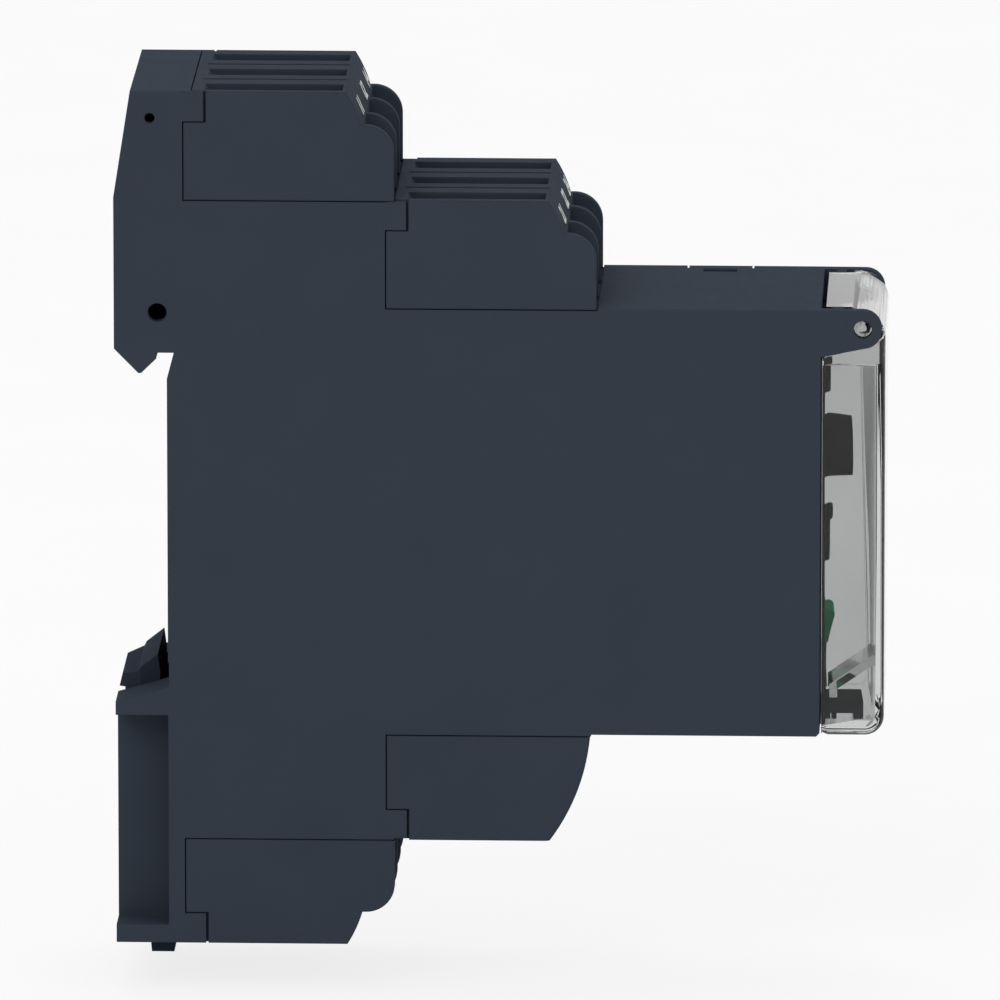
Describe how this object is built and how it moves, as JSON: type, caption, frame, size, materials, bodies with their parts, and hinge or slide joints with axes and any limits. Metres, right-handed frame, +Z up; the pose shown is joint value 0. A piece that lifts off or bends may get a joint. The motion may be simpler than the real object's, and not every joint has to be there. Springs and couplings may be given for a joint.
{
  "type": "level control relay",
  "caption": "Narrow rail-mounted level control relay with stepped terminal blocks, sprung rail clip and a hinged clear cover over its dials, selector and test button",
  "frame": {"origin": "on the rail plane, at mid width, on the rail's centre line", "axes": "+X from the rail to the front, +Z up, +Y from the near side wall to the side cover"},
  "size_m": [0.0796, 0.0226, 0.0927],
  "materials": {
    "dark_moulding": "satin",
    "side_moulding": "satin",
    "panel_moulding": "satin",
    "block_moulding": "satin",
    "clip_moulding": "satin",
    "clear_cover": "gloss",
    "knob_moulding": "matte",
    "green_moulding": "gloss",
    "lens": "gloss",
    "screw_steel": "plated",
    "clamp_steel": "plated",
    "contact_brass": "tinned",
    "spring_steel": "bright",
    "board": "satin",
    "component_blue": "satin",
    "relay_case": "satin",
    "core_steel": "laminated",
    "winding": "taped",
    "capacitor_sleeve": "satin"
  },
  "bodies": {
    "housing": {"casing": "dark_moulding", "side_cover": "side_moulding", "front_panel": "panel_moulding", "clip_spring": "spring_steel", "terminal_block_top_rear": "block_moulding", "terminal_block_top_front": "block_moulding", "terminal_block_bottom_rear": "block_moulding", "blank_block_bottom_front": "block_moulding", "contact_bar_1": "contact_brass", "contact_bar_2": "contact_brass", "contact_bar_3": "contact_brass", "contact_bar_4": "contact_brass", "contact_bar_5": "contact_brass", "contact_bar_6": "contact_brass", "contact_bar_7": "contact_brass", "contact_bar_8": "contact_brass", "contact_bar_9": "contact_brass", "upper_potentiometer": "component_blue", "selector_switch": "component_blue", "lower_potentiometer": "component_blue", "test_switch": "component_blue", "status_lens_near": "lens", "status_lens_far": "lens", "main_board": "board", "front_board": "board", "board_connector": "capacitor_sleeve", "output_relay": "relay_case", "transformer_core": "core_steel", "transformer_winding": "winding", "supply_capacitor": "capacitor_sleeve"},
    "cover": {"hinged_cover": "clear_cover"},
    "clip": {"rail_clip": "clip_moulding"},
    "upper_dial": {"upper_dial": "knob_moulding"},
    "selector": {"selector_knob": "knob_moulding"},
    "lower_dial": {"lower_dial": "knob_moulding"},
    "button": {"test_button": "green_moulding"},
    "screw_1": {"terminal_screw_1": "screw_steel"},
    "clamp_1": {"wire_clamp_1": "clamp_steel"},
    "screw_2": {"terminal_screw_2": "screw_steel"},
    "clamp_2": {"wire_clamp_2": "clamp_steel"},
    "screw_3": {"terminal_screw_3": "screw_steel"},
    "clamp_3": {"wire_clamp_3": "clamp_steel"},
    "screw_4": {"terminal_screw_4": "screw_steel"},
    "clamp_4": {"wire_clamp_4": "clamp_steel"},
    "screw_5": {"terminal_screw_5": "screw_steel"},
    "clamp_5": {"wire_clamp_5": "clamp_steel"},
    "screw_6": {"terminal_screw_6": "screw_steel"},
    "clamp_6": {"wire_clamp_6": "clamp_steel"},
    "screw_7": {"terminal_screw_7": "screw_steel"},
    "clamp_7": {"wire_clamp_7": "clamp_steel"},
    "screw_8": {"terminal_screw_8": "screw_steel"},
    "clamp_8": {"wire_clamp_8": "clamp_steel"},
    "screw_9": {"terminal_screw_9": "screw_steel"},
    "clamp_9": {"wire_clamp_9": "clamp_steel"}
  },
  "joints": [
    {"name": "cover_hinge", "type": "hinge", "parent": "housing", "child": "cover", "pos_m": [0.0717, 0, 0.0205], "axis": [0, -1, 0], "range_deg": [0, 90]},
    {"name": "clip_slide", "type": "slide", "parent": "housing", "child": "clip", "axis": [0, 0, -1], "range_m": [0, 0.0026], "stiffness_N_per_m": 400, "springref_m": -0.01, "deforming": ["clip_spring"]},
    {"name": "upper_dial_turn", "type": "hinge", "parent": "housing", "child": "upper_dial", "pos_m": [0.067, 0, 0.01449], "axis": [1, 0, 0], "range_deg": [-135, 135]},
    {"name": "selector_turn", "type": "hinge", "parent": "housing", "child": "selector", "pos_m": [0.067, 0, 0.0059], "axis": [1, 0, 0], "range_deg": [-135, 135]},
    {"name": "lower_dial_turn", "type": "hinge", "parent": "housing", "child": "lower_dial", "pos_m": [0.067, 0, -0.00331], "axis": [1, 0, 0], "range_deg": [-135, 135]},
    {"name": "button_push", "type": "slide", "parent": "housing", "child": "button", "axis": [-1, 0, 0], "range_m": [0, 0.0008], "stiffness_N_per_m": 40, "springref_m": -0.02},
    {"name": "screw_turn_1", "type": "hinge", "parent": "housing", "child": "screw_1", "pos_m": [0.01749, -0.00805, 0.03725], "axis": [1, 0, 0], "range_deg": [-1440, 0]},
    {"name": "clamp_rise_1", "type": "slide", "parent": "housing", "child": "clamp_1", "axis": [1, 0, 0], "range_m": [0, 0.002]},
    {"name": "screw_turn_2", "type": "hinge", "parent": "housing", "child": "screw_2", "pos_m": [0.01749, -0.0004, 0.03725], "axis": [1, 0, 0], "range_deg": [-1440, 0]},
    {"name": "clamp_rise_2", "type": "slide", "parent": "housing", "child": "clamp_2", "axis": [1, 0, 0], "range_m": [0, 0.002]},
    {"name": "screw_turn_3", "type": "hinge", "parent": "housing", "child": "screw_3", "pos_m": [0.01749, 0.00725, 0.03725], "axis": [1, 0, 0], "range_deg": [-1440, 0]},
    {"name": "clamp_rise_3", "type": "slide", "parent": "housing", "child": "clamp_3", "axis": [1, 0, 0], "range_m": [0, 0.002]},
    {"name": "screw_turn_4", "type": "hinge", "parent": "housing", "child": "screw_4", "pos_m": [0.03833, -0.00805, 0.026], "axis": [1, 0, 0], "range_deg": [-1440, 0]},
    {"name": "clamp_rise_4", "type": "slide", "parent": "housing", "child": "clamp_4", "axis": [1, 0, 0], "range_m": [0, 0.002]},
    {"name": "screw_turn_5", "type": "hinge", "parent": "housing", "child": "screw_5", "pos_m": [0.03833, -0.0004, 0.026], "axis": [1, 0, 0], "range_deg": [-1440, 0]},
    {"name": "clamp_rise_5", "type": "slide", "parent": "housing", "child": "clamp_5", "axis": [1, 0, 0], "range_m": [0, 0.002]},
    {"name": "screw_turn_6", "type": "hinge", "parent": "housing", "child": "screw_6", "pos_m": [0.03833, 0.00725, 0.026], "axis": [1, 0, 0], "range_deg": [-1440, 0]},
    {"name": "clamp_rise_6", "type": "slide", "parent": "housing", "child": "clamp_6", "axis": [1, 0, 0], "range_m": [0, 0.002]},
    {"name": "screw_turn_7", "type": "hinge", "parent": "housing", "child": "screw_7", "pos_m": [0.01749, -0.00805, -0.03725], "axis": [1, 0, 0], "range_deg": [-1440, 0]},
    {"name": "clamp_rise_7", "type": "slide", "parent": "housing", "child": "clamp_7", "axis": [1, 0, 0], "range_m": [0, 0.002]},
    {"name": "screw_turn_8", "type": "hinge", "parent": "housing", "child": "screw_8", "pos_m": [0.01749, -0.0004, -0.03725], "axis": [1, 0, 0], "range_deg": [-1440, 0]},
    {"name": "clamp_rise_8", "type": "slide", "parent": "housing", "child": "clamp_8", "axis": [1, 0, 0], "range_m": [0, 0.002]},
    {"name": "screw_turn_9", "type": "hinge", "parent": "housing", "child": "screw_9", "pos_m": [0.01749, 0.00725, -0.03725], "axis": [1, 0, 0], "range_deg": [-1440, 0]},
    {"name": "clamp_rise_9", "type": "slide", "parent": "housing", "child": "clamp_9", "axis": [1, 0, 0], "range_m": [0, 0.002]}
  ],
  "couplings": [
    {"joint": "screw_turn_1", "follows": "clamp_rise_1", "rad_per_m": -12566},
    {"joint": "screw_turn_2", "follows": "clamp_rise_2", "rad_per_m": -12566},
    {"joint": "screw_turn_3", "follows": "clamp_rise_3", "rad_per_m": -12566},
    {"joint": "screw_turn_4", "follows": "clamp_rise_4", "rad_per_m": -12566},
    {"joint": "screw_turn_5", "follows": "clamp_rise_5", "rad_per_m": -12566},
    {"joint": "screw_turn_6", "follows": "clamp_rise_6", "rad_per_m": -12566},
    {"joint": "screw_turn_7", "follows": "clamp_rise_7", "rad_per_m": -12566},
    {"joint": "screw_turn_8", "follows": "clamp_rise_8", "rad_per_m": -12566},
    {"joint": "screw_turn_9", "follows": "clamp_rise_9", "rad_per_m": -12566}
  ]
}
